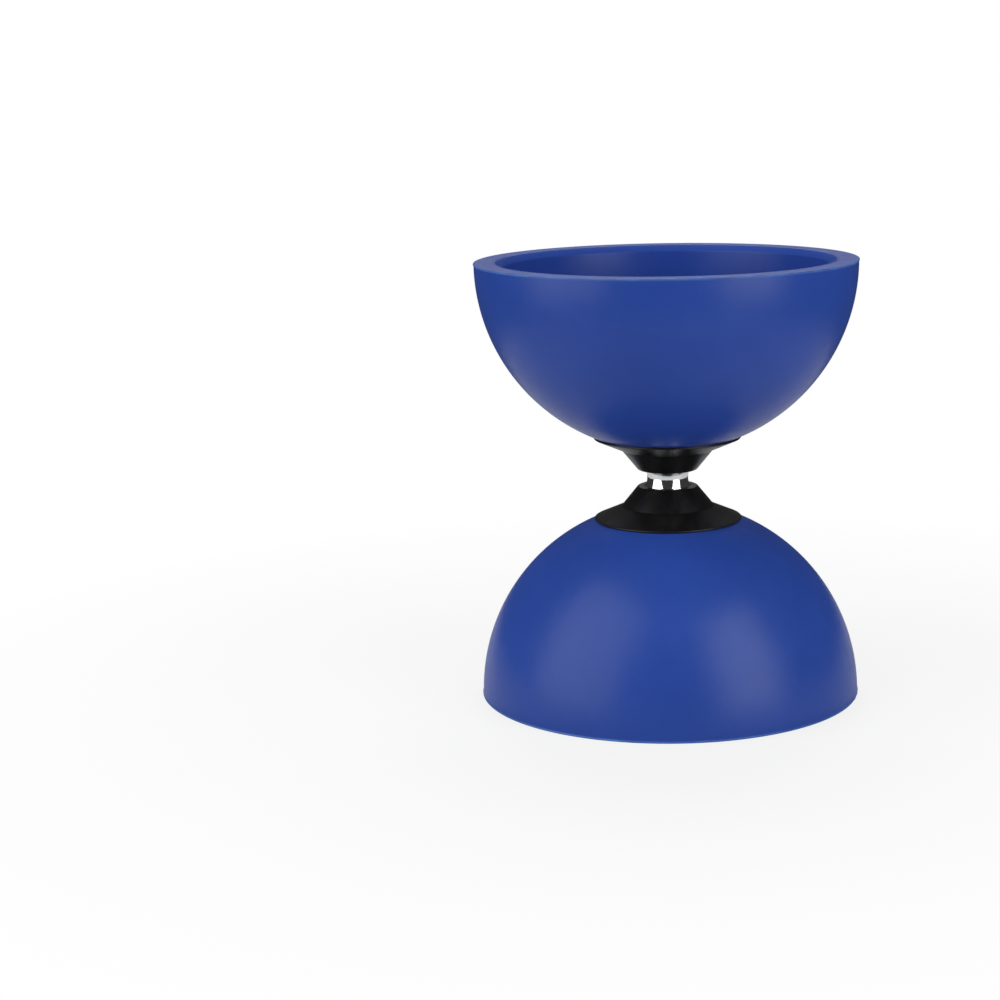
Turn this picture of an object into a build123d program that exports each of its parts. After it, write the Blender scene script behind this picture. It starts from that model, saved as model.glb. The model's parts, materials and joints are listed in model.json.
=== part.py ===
"""A fixed-axle diabolo: two rubber cups clamped through plastic hubs to one steel axle.

Millimetres. The origin is the middle of the axle and +Z is the spin axis. Heights are counted
from the waist, the plane through the middle of the axle, and grow away from it on both sides.
"""
import os
from math import radians, sqrt, tan

from build123d import *

# Driving dimensions: cups
rim_diameter = 125.0  # over the bead on the rim's edge
rim_bead = 0.2  # how far the bead stands out of the cup
rim_bead_height = 0.9
rim_band = 0.2  # straight outside between the hemisphere and the rim's plane
cup_wall = 3.0
floor_thickness = 6.0  # at the axis
rim_face_width = 6.9  # flat ring that the diabolo stands on
lip_bevel_width = 2.0
lip_bevel_height = 2.1
lip_blend_radius = 20.0  # where the mouth's straight wall runs into the bowl

# Driving dimensions: hubs
string_gap = 5.5  # bare axle between the two hub faces
hub_height = 6.5  # from the hub's face to the cup's pole
hub_shoulder = 2.4  # ring of hub face round the axle
hub_knee_radius = 15.2
hub_flange_radius = 24.3
hub_flange_edge = 0.8
hub_flange_slope = 23.3  # degrees from square to the axis
hub_face_fillet = 1.0
boss_wall = 3.65  # round the axle's seat, through the cup's floor
hub_web = 2.75  # between the axle's end and the boss's end

# Driving dimensions: axle
axle_diameter = 14.7
waist_depth = 0.63  # how far the string groove cuts into the axle
axle_chamfer = 0.5

# Driving dimensions: clamp stack
bolt_diameter = 8.0
bolt_head_across_flats = 13.0
bolt_head_height = 5.3
bolt_head_chamfer = 0.8
bolt_tip_chamfer = 0.8
bolt_end_gap = 3.7  # between the two bolt tips in the axle, which makes each bolt 20 long
clamp_washer_gap = 1.12  # from the washer's edge to the cup's wall, at the floor
clamp_washer_thickness = 3.0
clamp_washer_chamfer = 1.0
flat_washer_radius = 8.0
flat_washer_thickness = 1.6
flat_washer_chamfer = 0.3
lock_washer_radius = 7.4
lock_washer_thickness = 2.0
lock_washer_slit = 1.0
lock_washer_slit_tilt = 20.0

# Clearances, on the radius
seat_clearance = 0.05  # axle in the hub's seat
boss_clearance = 0.10  # boss in the cup's floor
thread_clearance = 0.05  # bolt in the axle's tapped bore
hole_clearance = 0.20  # bolt through the web and the washers
lock_washer_clearance = 0.10

# Radii
cup_radius = rim_diameter / 2 - rim_bead
inner_radius = cup_radius - cup_wall
rim_face_inner_radius = cup_radius - rim_face_width
mouth_radius = rim_face_inner_radius - lip_bevel_width
axle_radius = axle_diameter / 2
waist_radius = axle_radius - waist_depth
seat_radius = axle_radius + seat_clearance
hub_face_radius = axle_radius + hub_shoulder
boss_radius = seat_radius + boss_wall
cup_hole_radius = boss_radius + boss_clearance
bolt_radius = bolt_diameter / 2
tapped_radius = bolt_radius + thread_clearance
bolt_hole_radius = bolt_radius + hole_clearance
lock_washer_hole_radius = bolt_radius + lock_washer_clearance

# Heights from the waist
hub_face_height = string_gap / 2
pole_height = hub_face_height + hub_height
centre_height = pole_height + cup_radius  # centre of the cup's hemisphere
rim_height = centre_height + rim_band
floor_height = pole_height + floor_thickness
axle_end_height = floor_height - hub_web
flat_washer_height = floor_height + clamp_washer_thickness
lock_washer_height = flat_washer_height + flat_washer_thickness
bolt_seat_height = lock_washer_height + lock_washer_thickness
bolt_length = bolt_seat_height - bolt_end_gap / 2
flange_edge_height = centre_height - sqrt(cup_radius**2 - hub_flange_radius**2) - hub_flange_edge
knee_drop = (hub_flange_radius - hub_knee_radius) * tan(radians(hub_flange_slope))
knee_height = flange_edge_height - knee_drop

# The cup's flat floor and the disc that covers it
floor_radius = sqrt(inner_radius**2 - (centre_height - floor_height) ** 2)
clamp_washer_radius = floor_radius - clamp_washer_gap


def section(side):
    """Plane of a half section: local x is the radius, local y the height from the waist."""
    return Plane(origin=(0, 0, 0), x_dir=(1, 0, 0), z_dir=(0, -side, 0))


def level(side, height):
    """Plane square to the axis at a height from the waist, facing away from the waist."""
    return Plane(origin=(0, 0, side * height), x_dir=(1, 0, 0), z_dir=(0, 0, side))


def from_waist(ring):
    """How far a ring's centre is from the waist."""
    return abs(ring.center().Z)


def finish(piece, node):
    """Label a finished piece and write it."""
    piece.part.label = node
    export_step(piece.part, f"parts/{node}.step")


os.makedirs("parts", exist_ok=True)

# Axle: a steel bar with a rounded string groove at its waist, tapped right through
with BuildPart() as axle:
    with BuildSketch(section(1)):
        with BuildLine():
            groove = ThreePointArc(
                (axle_radius, -hub_face_height), (waist_radius, 0), (axle_radius, hub_face_height)
            )
            Polyline(
                groove @ 1,
                (axle_radius, axle_end_height - axle_chamfer),
                (axle_radius - axle_chamfer, axle_end_height),
                (tapped_radius + axle_chamfer, axle_end_height),
                (tapped_radius, axle_end_height - axle_chamfer),
                (tapped_radius, axle_chamfer - axle_end_height),
                (tapped_radius + axle_chamfer, -axle_end_height),
                (axle_radius - axle_chamfer, -axle_end_height),
                (axle_radius, axle_chamfer - axle_end_height),
                groove @ 0,
            )
        make_face()
    revolve(axis=Axis.Z)
finish(axle, "axle")

for side_name, side in (("upper", 1), ("lower", -1)):
    # Cup: a hemisphere, thickest at the lip, with a flat floor inside and a hole for the boss
    with BuildPart() as cup:
        with BuildSketch(section(side)):
            with BuildLine():
                outside = CenterArc((0, centre_height), cup_radius, start_angle=-90, arc_size=90)
                Polyline(outside @ 1, (cup_radius, rim_height), (0, rim_height), outside @ 0)
            make_face()
            with Locations((cup_radius, rim_height)):
                Rectangle(2 * rim_bead, rim_bead_height, align=(Align.CENTER, Align.MAX))
        revolve(axis=Axis.Z)
        with BuildSketch(section(side)) as bowl:
            with Locations((0, centre_height)):
                Circle(inner_radius)
            with Locations((0, floor_height)):
                Rectangle(
                    mouth_radius,
                    rim_height - floor_height,
                    align=(Align.MIN, Align.MIN),
                    mode=Mode.INTERSECT,
                )
            straight_wall = bowl.vertices().group_by(Axis.X)[-1]
            fillet(straight_wall.sort_by(Axis.Y)[0], radius=lip_blend_radius)
            with BuildLine():
                Polyline(
                    (mouth_radius, rim_height),
                    (rim_face_inner_radius, rim_height),
                    (mouth_radius, rim_height - lip_bevel_height),
                    close=True,
                )
            make_face()
        revolve(axis=Axis.Z, mode=Mode.SUBTRACT)
        with BuildSketch(level(side, floor_height)):
            Circle(cup_hole_radius)
        extrude(amount=-floor_thickness, mode=Mode.SUBTRACT)
    finish(cup, f"{side_name}_cup")

    # Hub: a cone and flange that back onto the cup, with a boss through the cup's floor
    with BuildPart() as hub:
        with BuildSketch(section(side)):
            with BuildLine():
                Polyline(
                    (0, hub_face_height),
                    (hub_face_radius, hub_face_height),
                    (hub_knee_radius, knee_height),
                    (hub_flange_radius, flange_edge_height),
                    (hub_flange_radius, flange_edge_height + 2 * hub_flange_edge),
                    (0, flange_edge_height + 2 * hub_flange_edge),
                    close=True,
                )
            make_face()
            with Locations((0, centre_height)):
                Circle(cup_radius, mode=Mode.SUBTRACT)
        revolve(axis=Axis.Z)
        rings = hub.edges().filter_by(GeomType.CIRCLE)
        fillet(rings.sort_by(from_waist)[0], radius=hub_face_fillet)
        with BuildSketch(level(side, pole_height)):
            Circle(boss_radius)
        extrude(amount=floor_height - pole_height)
        with BuildSketch(level(side, axle_end_height)):
            Circle(seat_radius)
        extrude(amount=-axle_end_height, mode=Mode.SUBTRACT)
        with BuildSketch(level(side, floor_height)):
            Circle(bolt_hole_radius)
        extrude(amount=-floor_height, mode=Mode.SUBTRACT)
    finish(hub, f"{side_name}_hub")

    # Clamp washer: a plastic disc that presses the cup's floor against the hub
    with BuildPart() as clamp_washer:
        with BuildSketch(level(side, floor_height)):
            Circle(clamp_washer_radius)
            Circle(bolt_hole_radius, mode=Mode.SUBTRACT)
        extrude(amount=clamp_washer_thickness)
        rings = clamp_washer.edges().filter_by(GeomType.CIRCLE)
        outer_rings = rings.group_by(SortBy.RADIUS)[-1]
        chamfer(outer_rings.sort_by(from_waist)[-1], clamp_washer_chamfer)
    finish(clamp_washer, f"{side_name}_clamp_washer")

    # Flat washer: plain steel, its outer corner broken on the side of the bolt's head
    with BuildPart() as flat_washer:
        with BuildSketch(level(side, flat_washer_height)):
            Circle(flat_washer_radius)
            Circle(bolt_hole_radius, mode=Mode.SUBTRACT)
        extrude(amount=flat_washer_thickness)
        rings = flat_washer.edges().filter_by(GeomType.CIRCLE)
        outer_rings = rings.group_by(SortBy.RADIUS)[-1]
        chamfer(outer_rings.sort_by(from_waist)[-1], flat_washer_chamfer)
    finish(flat_washer, f"{side_name}_flat_washer")

    # Lock washer: a spring ring, split on a slant and pressed flat
    with BuildPart() as lock_washer:
        with BuildSketch(level(side, lock_washer_height)):
            Circle(lock_washer_radius)
            Circle(lock_washer_hole_radius, mode=Mode.SUBTRACT)
        extrude(amount=lock_washer_thickness)
        with Locations(level(side, lock_washer_height + lock_washer_thickness / 2)):
            with Locations(Location((lock_washer_radius, 0, 0), (lock_washer_slit_tilt, 0, 0))):
                Box(
                    lock_washer_radius,
                    lock_washer_slit,
                    2 * lock_washer_thickness,
                    mode=Mode.SUBTRACT,
                )
    finish(lock_washer, f"{side_name}_lock_washer")

    # Bolt: a hexagon head with its corners cut back to a cone, and a plain shank for the thread
    with BuildPart() as bolt:
        with BuildSketch(level(side, bolt_seat_height)):
            RegularPolygon(bolt_head_across_flats / 2, 6, major_radius=False)
        extrude(amount=bolt_head_height)
        with BuildSketch(section(side)):
            with BuildLine():
                head_top = bolt_seat_height + bolt_head_height
                cone_radius = bolt_head_across_flats / 2 + 2 * bolt_head_chamfer
                Polyline(
                    (0, bolt_seat_height),
                    (cone_radius, bolt_seat_height),
                    (cone_radius, head_top - bolt_head_chamfer),
                    (cone_radius - 2 * bolt_head_chamfer, head_top),
                    (0, head_top),
                    close=True,
                )
            make_face()
        revolve(axis=Axis.Z, mode=Mode.INTERSECT)
        with BuildSketch(level(side, bolt_seat_height)):
            Circle(bolt_radius)
        extrude(amount=-bolt_length)
        rings = bolt.edges().filter_by(GeomType.CIRCLE)
        chamfer(rings.sort_by(from_waist)[0], bolt_tip_chamfer)
    finish(bolt, f"{side_name}_bolt")
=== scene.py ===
"""A fixed-axle diabolo: blue rubber cups, black plastic hubs and a bright steel axle.

Metres. The origin is the middle of the axle and +Z is the spin axis. Every turned piece is a
profile of (radius, height from the waist) points, turned about the axis on one side of the waist.
"""
import json
import math

import bmesh
import bpy
from mathutils import Matrix, Vector, noise

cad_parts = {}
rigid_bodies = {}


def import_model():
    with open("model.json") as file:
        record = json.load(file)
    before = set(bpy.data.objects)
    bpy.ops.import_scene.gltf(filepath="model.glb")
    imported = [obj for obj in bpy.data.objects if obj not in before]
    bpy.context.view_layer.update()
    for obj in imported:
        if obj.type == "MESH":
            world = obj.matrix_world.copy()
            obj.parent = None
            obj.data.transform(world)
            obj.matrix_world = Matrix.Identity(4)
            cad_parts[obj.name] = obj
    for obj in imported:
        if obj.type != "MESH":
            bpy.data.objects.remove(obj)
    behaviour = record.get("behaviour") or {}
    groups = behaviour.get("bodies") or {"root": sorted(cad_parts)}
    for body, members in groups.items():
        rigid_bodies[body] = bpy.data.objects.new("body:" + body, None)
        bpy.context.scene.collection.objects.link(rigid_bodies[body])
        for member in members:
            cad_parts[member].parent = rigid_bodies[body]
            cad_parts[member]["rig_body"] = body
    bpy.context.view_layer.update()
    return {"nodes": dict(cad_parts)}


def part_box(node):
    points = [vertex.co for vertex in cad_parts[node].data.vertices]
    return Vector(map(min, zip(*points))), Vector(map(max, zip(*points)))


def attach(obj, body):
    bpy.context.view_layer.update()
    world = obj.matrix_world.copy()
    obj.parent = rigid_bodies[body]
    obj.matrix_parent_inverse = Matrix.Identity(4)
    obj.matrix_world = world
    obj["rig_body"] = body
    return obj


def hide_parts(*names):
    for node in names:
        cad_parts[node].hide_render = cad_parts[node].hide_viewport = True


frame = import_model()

MM = 0.001
SEGMENTS = 256
SIDES = {"upper": 1, "lower": -1}
TURN_OVER = Matrix.Rotation(math.pi, 4, "X")


# ------------------------------------------------------------------ sizes read from the frame

def reach(node, axis=2):
    """Furthest that a node gets from the origin along an axis."""
    low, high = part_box(node)
    return max(abs(low[axis]), abs(high[axis]))


def start(node):
    """Height from the waist at which an upper node starts."""
    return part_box(node)[0].z


RIM_HEIGHT = reach("upper_cup")
RIM_RADIUS = reach("upper_cup", 0)
BEAD = 0.2 * MM
CUP_RADIUS = RIM_RADIUS - BEAD
WALL = 3.0 * MM
RIM_BAND = 0.2 * MM
CENTRE_HEIGHT = RIM_HEIGHT - RIM_BAND
FACE_INNER_RADIUS = CUP_RADIUS - 6.9 * MM
MOUTH_RADIUS = FACE_INNER_RADIUS - 2.0 * MM
BEVEL_HEIGHT = 2.1 * MM
BLEND_RADIUS = 20.0 * MM
FLOOR_HEIGHT = start("upper_clamp_washer")
HUB_FACE_HEIGHT = start("upper_hub")
AXLE_RADIUS = reach("axle", 0)
FLANGE_RADIUS = reach("upper_hub", 0)
FLANGE_EDGE = 0.8 * MM
KNEE_RADIUS = 15.2 * MM
FLANGE_SLOPE = math.tan(math.radians(23.3))
HUB_FACE_RADIUS = AXLE_RADIUS + 2.4 * MM
WAIST_DEPTH = 0.63 * MM
AXLE_END = reach("axle")
SEAT_RADIUS = AXLE_RADIUS + 0.05 * MM
BOSS_RADIUS = SEAT_RADIUS + 3.65 * MM
CUP_HOLE_RADIUS = BOSS_RADIUS + 0.1 * MM
HOLE_RADIUS = 4.2 * MM
TAPPED_RADIUS = 4.05 * MM
FLAT_WASHER_RADIUS = 8.0 * MM
LOCK_INNER_RADIUS = 4.1 * MM
LOCK_OUTER_RADIUS = 7.4 * MM
LOCK_THICKNESS = 2.0 * MM
BOLT_RADIUS = 4.0 * MM
HEAD_FLATS = 6.5 * MM
HEAD_HEIGHT = 5.3 * MM
BOLT_SEAT = reach("upper_bolt") - HEAD_HEIGHT
THREAD_PITCH = 1.25 * MM
THREAD_DEPTH = 0.62 * MM
FLOOR_RADIUS = 0.32


# ------------------------------------------------------------------ mesh helpers

def rounded(corners):
    """A profile from (radius, height, rounding) corners, each rounding made an arc."""
    profile = []
    for index, (x, y, size) in enumerate(corners):
        corner = Vector((x, y))
        if size == 0 or index in (0, len(corners) - 1):
            profile.append(corner)
            continue
        before = (Vector(corners[index - 1][:2]) - corner).normalized()
        after = (Vector(corners[index + 1][:2]) - corner).normalized()
        half = before.angle(after) / 2
        back = size / math.tan(half)
        middle = corner + (before + after).normalized() * (size / math.sin(half))
        first = corner + before * back - middle
        sweep = first.angle_signed(corner + after * back - middle)
        steps = max(2, int(abs(sweep) / math.radians(15)))
        for step in range(steps + 1):
            turned = first.copy()
            turned.rotate(Matrix.Rotation(-sweep * step / steps, 2))
            profile.append(middle + turned)
    return [tuple(point) for point in profile]


def sphere_arc(radius, from_radius, to_radius, steps):
    """Profile points on a sphere round the cup's centre, evenly turned."""
    first = math.asin(from_radius / radius)
    last = math.asin(to_radius / radius)
    points = []
    for step in range(steps + 1):
        angle = first + (last - first) * step / steps
        points.append((radius * math.sin(angle), CENTRE_HEIGHT - radius * math.cos(angle)))
    return points


def angles(segments):
    """Evenly spaced angles round a turn."""
    return [2 * math.pi * step / segments for step in range(segments)]


def turned(name, profile, segments=SEGMENTS, closed=True, nudge=None):
    """A mesh turned about Z from a profile that goes round with its solid on the left."""
    made = bmesh.new()
    rings = []
    for angle in angles(segments):
        ring = []
        for index, (radius, height) in enumerate(profile):
            if nudge:
                radius, height = nudge(index, angle, radius, height)
            ring.append(made.verts.new((radius * math.cos(angle), radius * math.sin(angle), height)))
        rings.append(ring)
    count = len(profile)
    for step in range(segments):
        here, there = rings[step], rings[(step + 1) % segments]
        for index in range(count if closed else count - 1):
            after = (index + 1) % count
            made.faces.new((here[index], there[index], there[after], here[after]))
    return to_object(name, made)


def to_object(name, made, sharp=30):
    """A linked object from a bmesh, smooth apart from edges sharper than an angle."""
    bmesh.ops.recalc_face_normals(made, faces=made.faces)
    mesh = bpy.data.meshes.new(name)
    made.to_mesh(mesh)
    made.free()
    mesh.shade_smooth()
    mesh.set_sharp_from_angle(angle=math.radians(sharp))
    piece = bpy.data.objects.new(name, mesh)
    bpy.context.scene.collection.objects.link(piece)
    return piece


def place(piece, node, side, material):
    """Turn a piece over for the lower side, stand it for its node and let it ride there."""
    if side < 0:
        piece.data.transform(TURN_OVER)
    piece.data.materials.append(material)
    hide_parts(node)
    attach(piece, frame["nodes"][node]["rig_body"])


# ------------------------------------------------------------------ materials

def new_material(name):
    """A new material, its node tree and its shader."""
    material = bpy.data.materials.new(name)
    material.use_nodes = True
    tree = material.node_tree
    return material, tree, tree.nodes["Principled BSDF"]


def add_noise(tree, scale, detail=3.0, roughness=0.5, stretch=(1, 1, 1)):
    """Noise in the object's own metres; returns its factor socket."""
    where = tree.nodes.new("ShaderNodeTexCoord")
    mapping = tree.nodes.new("ShaderNodeMapping")
    mapping.inputs["Scale"].default_value = stretch
    texture = tree.nodes.new("ShaderNodeTexNoise")
    texture.inputs["Scale"].default_value = scale
    texture.inputs["Detail"].default_value = detail
    texture.inputs["Roughness"].default_value = roughness
    tree.links.new(where.outputs["Object"], mapping.inputs["Vector"])
    tree.links.new(mapping.outputs["Vector"], texture.inputs["Vector"])
    return texture.outputs["Fac"]


def add_ramp(tree, factor, stops):
    """A colour ramp over a factor; stops are (place, colour)."""
    ramp = tree.nodes.new("ShaderNodeValToRGB")
    elements = ramp.color_ramp.elements
    while len(elements) < len(stops):
        elements.new(0.5)
    for element, (spot, colour) in zip(elements, stops):
        element.position = spot
        element.color = (*colour, 1)
    tree.links.new(factor, ramp.inputs["Fac"])
    return ramp.outputs["Color"]


def add_range(tree, factor, low, high, from_low=0.3, from_high=0.7):
    """A factor spread over a range of numbers."""
    spread = tree.nodes.new("ShaderNodeMapRange")
    spread.inputs["From Min"].default_value = from_low
    spread.inputs["From Max"].default_value = from_high
    spread.inputs["To Min"].default_value = low
    spread.inputs["To Max"].default_value = high
    tree.links.new(factor, spread.inputs["Value"])
    return spread.outputs["Result"]


def add_bump(tree, height, distance, strength=1.0, below=None):
    """A bump from a height factor, stacked on another bump's normal if given."""
    bump = tree.nodes.new("ShaderNodeBump")
    bump.inputs["Distance"].default_value = distance
    bump.inputs["Strength"].default_value = strength
    tree.links.new(height, bump.inputs["Height"])
    if below:
        tree.links.new(below, bump.inputs["Normal"])
    return bump.outputs["Normal"]


def add_mix(tree, factor, first, second):
    """A colour mix of two colours or colour sockets by a factor socket."""
    mix = tree.nodes.new("ShaderNodeMix")
    mix.data_type = "RGBA"
    tree.links.new(factor, mix.inputs["Factor"])
    for socket, value in ((mix.inputs["A"], first), (mix.inputs["B"], second)):
        if isinstance(value, tuple):
            socket.default_value = (*value, 1)
        else:
            tree.links.new(value, socket)
    return mix.outputs["Result"]


def add_attribute(tree, name):
    """A vertex attribute's factor."""
    attribute = tree.nodes.new("ShaderNodeAttribute")
    attribute.attribute_name = name
    return attribute.outputs["Fac"]


def blue_rubber():
    """Moulded blue rubber with an eroded satin grain, faint mottling and paler rim edges that are partly
    wear and partly a painted highlight.
    """
    material, tree, shader = new_material("blue_rubber")
    mottle = add_ramp(
        tree,
        add_noise(tree, scale=45, detail=4, roughness=0.6),
        [(0.30, (0.0180, 0.0520, 0.275)), (0.55, (0.0200, 0.0560, 0.290)), (0.75, (0.0225, 0.0600, 0.305))],
    )
    specks = add_noise(tree, scale=1900, detail=2, roughness=0.5)
    speck = add_range(tree, specks, low=0, high=0.35, from_low=0.62, from_high=0.80)
    speck_blue = (0.024, 0.085, 0.36)
    # Paler blue at the rim's outer edge: partly wear, partly a painted highlight where the rounded edge
    # catches the light.
    wear_and_highlight_blue = (0.075, 0.170, 0.47)
    speckled = add_mix(tree, speck, mottle, speck_blue)
    wear_and_highlight = add_mix(tree, add_attribute(tree, "wear_and_highlight"), speckled, wear_and_highlight_blue)
    tree.links.new(wear_and_highlight, shader.inputs["Base Color"])
    rough = add_range(tree, add_noise(tree, scale=320, detail=3, roughness=0.6), low=0.28, high=0.35)
    tree.links.new(rough, shader.inputs["Roughness"])
    shader.inputs["Specular IOR Level"].default_value = 0.20
    grains = add_noise(tree, scale=2600, detail=2, roughness=0.55)
    grain = add_bump(tree, grains, distance=0.06 * MM, strength=0.55)
    swells = add_noise(tree, scale=60, detail=2, roughness=0.4)
    swell = add_bump(tree, swells, distance=0.6 * MM, strength=0.10, below=grain)
    tree.links.new(swell, shader.inputs["Normal"])
    return material


def black_plastic(name, roughness, specular, grain_scale):
    """Moulded black plastic: near black with a slight cloudiness, fine orange peel and rubbed edges."""
    material, tree, shader = new_material(name)
    cloud = add_ramp(
        tree,
        add_noise(tree, scale=180, detail=4, roughness=0.6),
        [(0.30, (0.0030, 0.0030, 0.0032)), (0.75, (0.0060, 0.0058, 0.0062))],
    )
    specks = add_noise(tree, scale=2400, detail=1, roughness=0.5)
    dust = add_range(tree, specks, low=0, high=0.5, from_low=0.70, from_high=0.80)
    dust_black = (0.016, 0.016, 0.017)
    rubbed_black = (0.022, 0.022, 0.023)
    dusty = add_mix(tree, dust, cloud, dust_black)
    wear_and_highlight = add_mix(tree, add_attribute(tree, "wear_and_highlight"), dusty, rubbed_black)
    tree.links.new(wear_and_highlight, shader.inputs["Base Color"])
    patches = add_noise(tree, scale=500, detail=3, roughness=0.6)
    rough = add_range(tree, patches, low=roughness - 0.05, high=roughness + 0.06)
    tree.links.new(rough, shader.inputs["Roughness"])
    shader.inputs["Specular IOR Level"].default_value = specular
    grains = add_noise(tree, scale=grain_scale, detail=2, roughness=0.5)
    peel = add_bump(tree, grains, distance=0.05 * MM, strength=0.35)
    tree.links.new(peel, shader.inputs["Normal"])
    return material


def turned_steel():
    """Polished steel with the finest turning lines round it."""
    material, tree, shader = new_material("polished_axle_steel")
    tint = add_ramp(
        tree,
        add_noise(tree, scale=260, detail=3, roughness=0.6),
        [(0.3, (0.79, 0.80, 0.80)), (0.7, (0.88, 0.88, 0.87))],
    )
    tree.links.new(tint, shader.inputs["Base Color"])
    shader.inputs["Metallic"].default_value = 1.0
    lines = add_noise(tree, scale=600, detail=2, roughness=0.6, stretch=(0.04, 0.04, 14))
    tree.links.new(add_range(tree, lines, low=0.045, high=0.12), shader.inputs["Roughness"])
    scored = add_bump(tree, lines, distance=0.004 * MM, strength=0.35)
    tree.links.new(scored, shader.inputs["Normal"])
    return material


def plated_steel(name, dark, light, roughness, mark_scale):
    """Plated steel: grey tones that wander over the piece, and small scratches."""
    material, tree, shader = new_material(name)
    wander = add_noise(tree, scale=240, detail=4, roughness=0.65)
    tone = add_ramp(tree, wander, [(0.3, dark), (0.7, light)])
    tree.links.new(tone, shader.inputs["Base Color"])
    shader.inputs["Metallic"].default_value = 1.0
    marks = add_noise(tree, scale=mark_scale, detail=4, roughness=0.7, stretch=(1, 0.25, 1))
    rough = add_range(tree, marks, low=roughness - 0.08, high=roughness + 0.12)
    tree.links.new(rough, shader.inputs["Roughness"])
    scratched = add_bump(tree, marks, distance=0.03 * MM, strength=0.35)
    tree.links.new(scratched, shader.inputs["Normal"])
    return material


# ------------------------------------------------------------------ pieces

def set_wear_and_highlight(piece, measure):
    """Store each vertex's measure of wear and painted edge highlight, from 0 to 1."""
    attribute = piece.data.attributes.new("wear_and_highlight", "FLOAT", "POINT")
    attribute.data.foreach_set("value", [measure(vertex.co) for vertex in piece.data.vertices])


def build_cup(side_name, side, material):
    """A hemispherical cup with a thick lip, an edge of moulding flash and a flat clamped floor."""
    inner_sphere = CUP_RADIUS - WALL
    floor_radius = math.sqrt(inner_sphere**2 - (CENTRE_HEIGHT - FLOOR_HEIGHT) ** 2)
    bead_height = RIM_HEIGHT - 0.6 * MM
    flat_outer = RIM_RADIUS - 0.6 * MM
    line_outer = FACE_INNER_RADIUS + 0.75 * MM
    line_inner = FACE_INNER_RADIUS + 0.40 * MM
    line_side = 0.10 * MM
    line_bottom = RIM_HEIGHT - 0.08 * MM
    arc_end = math.sqrt(CUP_RADIUS**2 - (0.75 * MM) ** 2)
    blend_steps = 12
    blend_reach = inner_sphere - BLEND_RADIUS
    blend_angle = math.acos((MOUTH_RADIUS - BLEND_RADIUS) / blend_reach)
    blend_height = CENTRE_HEIGHT - blend_reach * math.sin(blend_angle)
    outside = sphere_arc(CUP_RADIUS, CUP_HOLE_RADIUS, arc_end, 96)
    rim = rounded([
        (CUP_RADIUS, bead_height, 0),
        (RIM_RADIUS, bead_height + BEAD, 0.08 * MM),
        (RIM_RADIUS, RIM_HEIGHT, 0.22 * MM),
        (flat_outer, RIM_HEIGHT, 0),
        (line_outer, RIM_HEIGHT, 0),
        (line_outer - line_side, line_bottom, 0),
        (line_inner + line_side, line_bottom, 0),
        (line_inner, RIM_HEIGHT, 0),
        (FACE_INNER_RADIUS, RIM_HEIGHT, 0.25 * MM),
        (MOUTH_RADIUS, RIM_HEIGHT - BEVEL_HEIGHT, 0.5 * MM),
        (MOUTH_RADIUS, blend_height, 0),
    ])
    for step in range(1, blend_steps + 1):
        angle = blend_angle * step / blend_steps
        rim.append((
            MOUTH_RADIUS - BLEND_RADIUS * (1 - math.cos(angle)),
            blend_height - BLEND_RADIUS * math.sin(angle),
        ))
    inside = sphere_arc(inner_sphere, rim[-1][0], floor_radius + 0.8 * MM, 80)[1:]
    floor = rounded([
        (inside[-1][0], inside[-1][1], 0),
        (floor_radius, FLOOR_HEIGHT, 0.6 * MM),
        (CUP_HOLE_RADIUS, FLOOR_HEIGHT, 0.2 * MM),
        outside[0] + (0,),
    ])[1:-1]

    flash_width = 0.12 * MM
    flash_drop = 0.10 * MM
    flash_bottom = RIM_HEIGHT - 0.5 * MM
    # Width of the paler rim edge, which is partly wear and partly a painted highlight.
    wear_and_highlight_width = 0.35 * MM

    def flash(_index, angle, radius, height):
        """Ragged moulding flash along the rim's outer edge."""
        if radius < RIM_RADIUS - flash_width or height < flash_bottom:
            return radius, height
        around = Vector((math.cos(angle), math.sin(angle), side * 3.0))
        ragged = max(0.0, noise.noise(around * 22)) + 0.4 * abs(noise.noise(around * 60))
        return radius - ragged * flash_width, height - ragged * flash_drop

    piece = turned(f"{side_name}_cup_shell", outside + rim + inside + floor, 384, nudge=flash)

    def wear_and_highlight(co):
        """Patchy paler rim edge, strongest at the outer edge: partly wear and partly a painted highlight.
        """
        radius = math.hypot(co.x, co.y)
        if co.z < bead_height - 0.01 * MM or radius < FACE_INNER_RADIUS - 0.1 * MM:
            return 0.0
        around = Vector((co.x, co.y, 0)) / RIM_RADIUS
        patchy = 0.65 + 0.5 * noise.noise(around * 9 + Vector((0, 0, side)))
        edge = max(0.0, 1 - (RIM_RADIUS - radius) / wear_and_highlight_width)
        return min(1.0, max(0.0, edge * patchy))

    set_wear_and_highlight(piece, wear_and_highlight)
    place(piece, f"{side_name}_cup", side, material)


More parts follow.
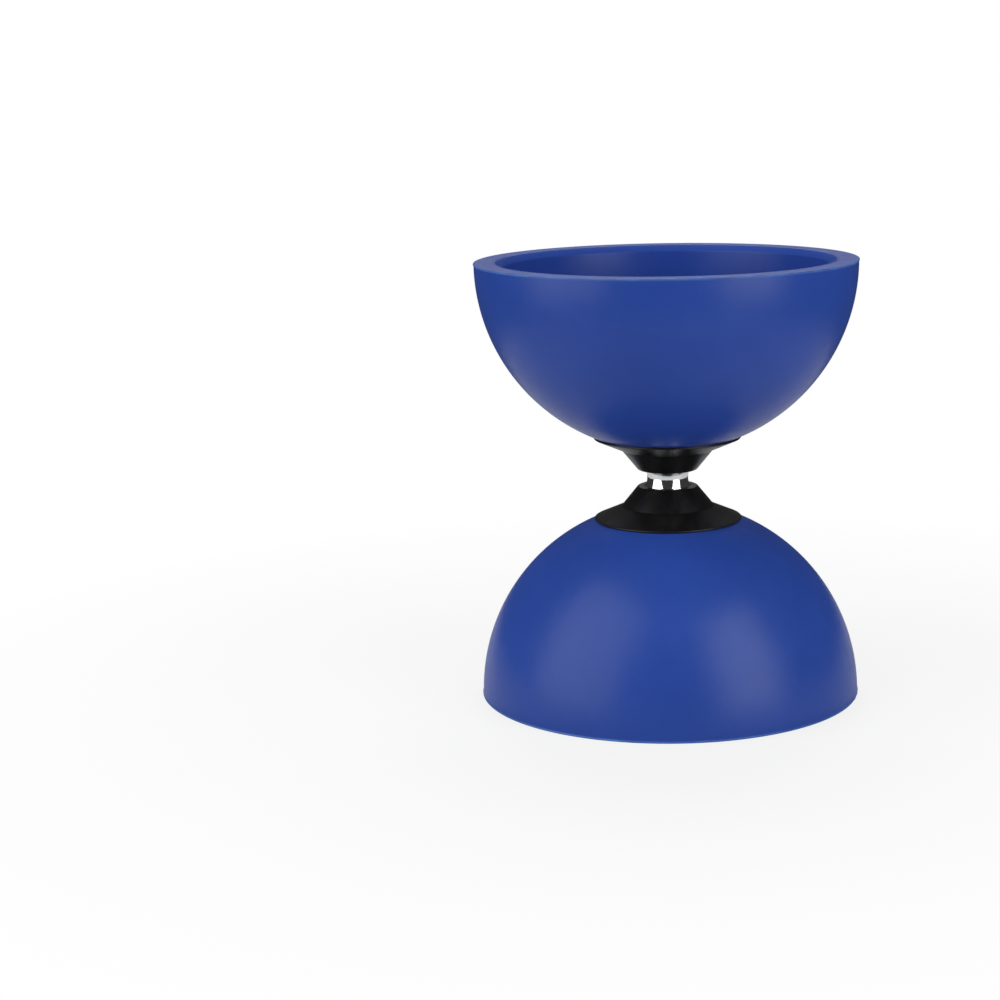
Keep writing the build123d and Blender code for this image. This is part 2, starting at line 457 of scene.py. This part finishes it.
def build_hub(side_name, side, material):
    """A cone and flange with softened corners, backed onto the cup, with its boss and seat."""
    flange_back = CENTRE_HEIGHT - math.sqrt(CUP_RADIUS**2 - FLANGE_RADIUS**2)
    undercut_radius = FLANGE_RADIUS - 0.35 * MM
    undercut_back = CENTRE_HEIGHT - math.sqrt(CUP_RADIUS**2 - undercut_radius**2)
    edge_height = flange_back - FLANGE_EDGE
    shelf = 0.9 * MM
    knee_height = edge_height - (FLANGE_RADIUS - KNEE_RADIUS) * FLANGE_SLOPE
    front = rounded([
        (SEAT_RADIUS, HUB_FACE_HEIGHT + 0.4 * MM, 0),
        (SEAT_RADIUS + 0.35 * MM, HUB_FACE_HEIGHT, 0),
        (HUB_FACE_RADIUS, HUB_FACE_HEIGHT, 1.0 * MM),
        (KNEE_RADIUS, knee_height, 0.9 * MM),
        (FLANGE_RADIUS - shelf, edge_height - shelf * FLANGE_SLOPE, 0),
        (FLANGE_RADIUS, edge_height, 0.25 * MM),
        (undercut_radius, undercut_back, 0),
    ])
    back = sphere_arc(CUP_RADIUS, undercut_radius - 0.02 * MM, BOSS_RADIUS, 12)
    boss = rounded([
        (BOSS_RADIUS, FLOOR_HEIGHT - 1.0 * MM, 0),
        (BOSS_RADIUS, FLOOR_HEIGHT, 0.3 * MM),
        (HOLE_RADIUS, FLOOR_HEIGHT, 0.1 * MM),
        (HOLE_RADIUS, AXLE_END, 0.1 * MM),
        (SEAT_RADIUS, AXLE_END, 0),
    ])
    parting_angle = 0.35
    groove_depth = 0.05 * MM
    groove_half_width = 0.22 * MM
    wear_and_highlight_width = 0.5 * MM
    along = Vector((math.cos(parting_angle), math.sin(parting_angle)))

    def mould_line(index, angle, radius, height):
        """A hair-thin groove where the mould's halves met, on two opposite sides of the hub."""
        if not 1 < index < len(front) - 2:
            return radius, height
        away = abs(math.cos(angle) * along.y - math.sin(angle) * along.x) * radius
        depth = groove_depth * max(0.0, 1 - away / groove_half_width)
        return radius - depth * 0.8, height + depth * 0.6

    piece = turned(f"{side_name}_hub_cone", front + back + boss, 512, nudge=mould_line)

    def wear_and_highlight(co):
        """Faint patchy wear along the flange's edge."""
        if co.z >= flange_back:
            return 0.0
        edge = max(0.0, 1 - (FLANGE_RADIUS - math.hypot(co.x, co.y)) / wear_and_highlight_width)
        around = Vector((co.x, co.y, 0)) / FLANGE_RADIUS
        return min(1.0, max(0.0, 0.35 * edge * (0.6 + 0.6 * noise.noise(around * 7))))

    set_wear_and_highlight(piece, wear_and_highlight)
    place(piece, f"{side_name}_hub", side, material)


def build_axle(material):
    """The bar with its rounded string groove, chamfered ends and a tapped bore."""
    arc_radius = (HUB_FACE_HEIGHT**2 + WAIST_DEPTH**2) / (2 * WAIST_DEPTH)
    half = math.asin(HUB_FACE_HEIGHT / arc_radius)
    waist = AXLE_RADIUS - WAIST_DEPTH
    groove = []
    for step in range(33):
        angle = half * (step / 16 - 1)
        groove.append((waist + arc_radius * (1 - math.cos(angle)), arc_radius * math.sin(angle)))
    chamfer = 0.5 * MM
    top = rounded([
        (AXLE_RADIUS, HUB_FACE_HEIGHT, 0),
        (AXLE_RADIUS, AXLE_END - chamfer, 0.2 * MM),
        (AXLE_RADIUS - chamfer, AXLE_END, 0.2 * MM),
        (TAPPED_RADIUS + chamfer, AXLE_END, 0.1 * MM),
        (TAPPED_RADIUS, AXLE_END - chamfer, 0),
    ])[1:]
    bottom = [(radius, -height) for radius, height in reversed(top)]
    piece = turned("axle_bar", groove + top + bottom, 192)
    place(piece, "axle", 1, material)


def build_disc(node, side, name, outer, hole, corners, material, segments=128):
    """A turned disc; its corners away from the waist are (inwards, down, rounding) from the edge."""
    low = start(node.replace("lower", "upper"))
    high = reach(node)
    bevel = 0.15 * MM
    profile = rounded([
        (hole, low + bevel, 0),
        (hole + bevel, low, 0),
        (outer, low, bevel),
        *[(outer - inwards, high - down, size) for inwards, down, size in corners],
        (hole + bevel, high, 0),
        (hole, high - bevel, 0),
    ])
    piece = turned(name, profile, segments)
    set_wear_and_highlight(piece, lambda co: 0.0)
    place(piece, node, side, material)


def build_lock_washer(side_name, side, material):
    """A spring washer: a rectangular bar turned once, cut on a slant, with broken edges."""
    node = f"{side_name}_lock_washer"
    low = start("upper_lock_washer")
    high = low + LOCK_THICKNESS
    inner = LOCK_INNER_RADIUS
    outer = LOCK_OUTER_RADIUS
    half_slit = 0.5 * MM
    slant = math.tan(math.radians(20))
    edge = 0.18 * MM
    corners = [
        (inner, low + edge), (inner + edge, low), (outer - edge, low), (outer, low + edge),
        (outer, high - edge), (outer - edge, high), (inner + edge, high), (inner, high - edge),
    ]
    made = bmesh.new()
    steps = 120
    middle = (low + high) / 2
    rings = []
    for step in range(steps + 1):
        ring = []
        for radius, height in corners:
            lean = (height - middle) * slant
            first = (half_slit - lean) / radius
            last = 2 * math.pi - (half_slit + lean) / radius
            angle = first + (last - first) * step / steps
            ring.append(made.verts.new((radius * math.cos(angle), radius * math.sin(angle), height)))
        rings.append(ring)
    for here, there in zip(rings, rings[1:]):
        for index in range(len(corners)):
            after = (index + 1) % len(corners)
            made.faces.new((here[index], there[index], there[after], here[after]))
    made.faces.new(rings[0])
    made.faces.new(rings[-1])
    piece = to_object(f"{side_name}_spring_ring", made)
    place(piece, node, side, material)


def build_bolt(side_name, side, material):
    """A hexagon bolt: a chamfered, dished head with a washer face, a neck and a rolled thread."""
    tip_height = start("upper_bolt")
    head_top = BOLT_SEAT + HEAD_HEIGHT
    segments = 192
    steps_per_turn = 12
    face_height = 0.35 * MM
    made = bmesh.new()

    def flat_radius(angle):
        """Radius of the hexagon at an angle."""
        sector = math.pi / 3
        return HEAD_FLATS / math.cos((angle + sector / 2) % sector - sector / 2)

    def thread_radius(angle, height):
        """Radius of the rolled thread at an angle and height, run out at both its ends."""
        phase = ((height / THREAD_PITCH) - angle / (2 * math.pi)) % 1.0
        depth = THREAD_DEPTH * (1 - abs(2 * phase - 1)) ** 0.9
        run_out = min(1.0, max(0.0, (BOLT_SEAT - 2.0 * MM - height) / (1.2 * MM)))
        tip = min(1.0, max(0.0, (height - tip_height) / (0.9 * MM)))
        return min(BOLT_RADIUS - 0.01 * MM - depth * run_out, BOLT_RADIUS - 0.8 * MM * (1 - tip))

    heights = []
    shank_steps = int((BOLT_SEAT - tip_height) / THREAD_PITCH * steps_per_turn)
    for step in range(shank_steps + 1):
        heights.append(tip_height + (BOLT_SEAT - tip_height) * step / shank_steps)
    rings = []
    for height in heights:
        rings.append([(thread_radius(a, height), height) for a in angles(segments)])
    bevel = 0.1 * MM
    washer_face = HEAD_FLATS - 0.35 * MM
    hexagon_base = BOLT_SEAT + face_height
    rings.append([(washer_face - bevel, BOLT_SEAT)] * segments)
    rings.append([(washer_face, BOLT_SEAT + bevel)] * segments)
    rings.append([(washer_face, hexagon_base)] * segments)
    rings.append([(flat_radius(a) - bevel, hexagon_base) for a in angles(segments)])
    rings.append([(flat_radius(a), hexagon_base + 0.12 * MM) for a in angles(segments)])
    cone_radius = HEAD_FLATS - 0.2 * MM
    cone_slope = 0.5
    for share in (1.0, 0.5, 0.0):
        ring = []
        for a in angles(segments):
            radius = cone_radius + (flat_radius(a) - cone_radius) * share
            ring.append((radius, head_top - (radius - cone_radius) * cone_slope))
        rings.append(ring)
    dish_outer = HEAD_FLATS - 0.7 * MM
    dish_inner = HEAD_FLATS - 1.6 * MM
    dish_depth = 0.12 * MM
    rings.append([(dish_outer, head_top)] * segments)
    rings.append([(dish_inner, head_top - dish_depth)] * segments)
    loops = []
    for ring in rings:
        loop = []
        for (radius, height), angle in zip(ring, angles(segments)):
            loop.append(made.verts.new((radius * math.cos(angle), radius * math.sin(angle), height)))
        loops.append(loop)
    for here, there in zip(loops, loops[1:]):
        for index in range(segments):
            after = (index + 1) % segments
            made.faces.new((here[index], here[after], there[after], there[index]))
    made.faces.new(loops[0])
    made.faces.new(loops[-1])
    piece = to_object(f"{side_name}_hex_bolt", made)
    place(piece, f"{side_name}_bolt", side, material)


rubber = blue_rubber()
hub_black = black_plastic("hub_black_plastic", 0.33, 0.32, 1500)
washer_black = black_plastic("washer_black_plastic", 0.48, 0.40, 900)
axle_steel = turned_steel()
zinc = plated_steel("zinc_plated_steel", (0.50, 0.52, 0.55), (0.70, 0.71, 0.72), 0.30, 900)
spring = plated_steel("dull_spring_steel", (0.20, 0.20, 0.21), (0.34, 0.33, 0.33), 0.42, 700)

clamp_face = [
    (0, 1.0 * MM, 0.3 * MM),
    (1.0 * MM, 0, 0.3 * MM),
    (4.0 * MM, 0, 0),
    (4.3 * MM, 0.3 * MM, 0),
    (8.2 * MM, 0.3 * MM, 0),
    (8.5 * MM, 0, 0),
]
flat_face = [(0, 0.3 * MM, 0.1 * MM), (0.3 * MM, 0, 0.1 * MM)]

build_axle(axle_steel)
for side_name, side in SIDES.items():
    build_cup(side_name, side, rubber)
    build_hub(side_name, side, hub_black)
    build_disc(
        f"{side_name}_clamp_washer", side, f"{side_name}_clamp_disc",
        reach("upper_clamp_washer", 0), HOLE_RADIUS, clamp_face, washer_black,
    )
    build_disc(
        f"{side_name}_flat_washer", side, f"{side_name}_flat_ring",
        FLAT_WASHER_RADIUS, HOLE_RADIUS, flat_face, zinc,
    )
    build_lock_washer(side_name, side, spring)
    build_bolt(side_name, side, zinc)


# ------------------------------------------------------------------ floor, light and camera

def build_floor():
    """A round pale floor under the lower rim, which fades to the white background at its edge."""
    made = bmesh.new()
    ring = [(FLOOR_RADIUS * math.cos(angle), FLOOR_RADIUS * math.sin(angle)) for angle in angles(96)]
    made.faces.new([made.verts.new((x, y, -RIM_HEIGHT)) for x, y in ring])
    floor = to_object("studio_floor", made)
    material, tree, shader = new_material("pale_floor")
    clouds = add_noise(tree, scale=1.2, detail=2)
    tone = add_ramp(tree, clouds, [(0.3, (0.58, 0.58, 0.58)), (0.7, (0.61, 0.61, 0.61))])
    tree.links.new(tone, shader.inputs["Base Color"])
    shader.inputs["Roughness"].default_value = 0.9
    shader.inputs["Specular IOR Level"].default_value = 0.1
    where = tree.nodes.new("ShaderNodeTexCoord")
    distance = tree.nodes.new("ShaderNodeVectorMath")
    distance.operation = "LENGTH"
    tree.links.new(where.outputs["Object"], distance.inputs[0])
    faded = add_range(
        tree, distance.outputs["Value"], low=0.80, high=1, from_low=0.08, from_high=0.95 * FLOOR_RADIUS
    )
    white = tree.nodes.new("ShaderNodeEmission")
    seen = tree.nodes.new("ShaderNodeLightPath")
    share = tree.nodes.new("ShaderNodeMath")
    share.operation = "MULTIPLY"
    mix = tree.nodes.new("ShaderNodeMixShader")
    tree.links.new(faded, share.inputs[0])
    tree.links.new(seen.outputs["Is Camera Ray"], share.inputs[1])
    tree.links.new(share.outputs["Value"], mix.inputs["Fac"])
    tree.links.new(shader.outputs["BSDF"], mix.inputs[1])
    tree.links.new(white.outputs["Emission"], mix.inputs[2])
    tree.links.new(mix.outputs["Shader"], tree.nodes["Material Output"].inputs["Surface"])
    floor.data.materials.append(material)


def softbox(name, azimuth, elevation, distance, width, height, watts):
    """A rectangular light that faces the object; azimuth 0 is in front, positive to the right."""
    data = bpy.data.lights.new(name, "AREA")
    data.shape = "RECTANGLE"
    data.size = width
    data.size_y = height
    data.energy = watts
    light = bpy.data.objects.new(name, data)
    a, e = math.radians(azimuth), math.radians(elevation)
    towards = Vector((math.sin(a) * math.cos(e), -math.cos(a) * math.cos(e), math.sin(e)))
    light.location = towards * distance
    light.rotation_euler = towards.to_track_quat("Z", "Y").to_euler()
    light.visible_camera = False
    bpy.context.scene.collection.objects.link(light)


def build_world():
    """White where it is seen straight on, and a dim studio to everything that it lights."""
    world = bpy.data.worlds.new("studio")
    world.use_nodes = True
    tree = world.node_tree
    dim = tree.nodes["Background"]
    dim.inputs["Color"].default_value = (1, 1, 1, 1)
    dim.inputs["Strength"].default_value = 0.04
    white = tree.nodes.new("ShaderNodeBackground")
    white.inputs["Strength"].default_value = 1.0
    white.inputs["Color"].default_value = (1, 1, 1, 1)
    seen = tree.nodes.new("ShaderNodeLightPath")
    mix = tree.nodes.new("ShaderNodeMixShader")
    tree.links.new(seen.outputs["Is Camera Ray"], mix.inputs["Fac"])
    tree.links.new(dim.outputs["Background"], mix.inputs[1])
    tree.links.new(white.outputs["Background"], mix.inputs[2])
    tree.links.new(mix.outputs["Shader"], tree.nodes["World Output"].inputs["Surface"])
    bpy.context.scene.world = world


def build_camera():
    """A long lens a little above the axle, with the diabolo low and right in its view."""
    distance, height = 0.72275, 0.13843
    pitch, yaw, roll = 0.17209, -0.04882, -0.01826
    data = bpy.data.cameras.new("camera")
    data.sensor_width = 36.0
    data.lens = 80.23
    data.shift_x = -0.06
    data.shift_y = -0.06
    data.clip_start, data.clip_end = 0.01, 50
    camera = bpy.data.objects.new("camera", data)
    ahead = Vector((
        math.sin(yaw) * math.cos(pitch), math.cos(yaw) * math.cos(pitch), -math.sin(pitch),
    ))
    level_right = Vector((math.cos(yaw), -math.sin(yaw), 0))
    level_up = level_right.cross(ahead)
    right = level_right * math.cos(roll) + level_up * math.sin(roll)
    up = level_up * math.cos(roll) - level_right * math.sin(roll)
    camera.matrix_world = Matrix((
        (right.x, up.x, -ahead.x, 0),
        (right.y, up.y, -ahead.y, -distance),
        (right.z, up.z, -ahead.z, height),
        (0, 0, 0, 1),
    ))
    bpy.context.scene.collection.objects.link(camera)
    bpy.context.scene.camera = camera


build_floor()
build_world()
for name, azimuth, elevation, distance, width, height, watts in (
    ("left_softbox", -60, 24, 1.0, 1.0, 1.5, 12.5),
    ("right_softbox", 50, 18, 1.0, 0.7, 1.2, 9.8),
    ("top_softbox", 180, 60, 1.25, 0.7, 0.7, 8.5),
    ("back_softbox", 180, 34, 1.4, 0.6, 0.6, 2.5),
):
    softbox(name, azimuth, elevation, distance, width, height, watts)
build_camera()
bpy.context.scene.view_settings.view_transform = "Standard"
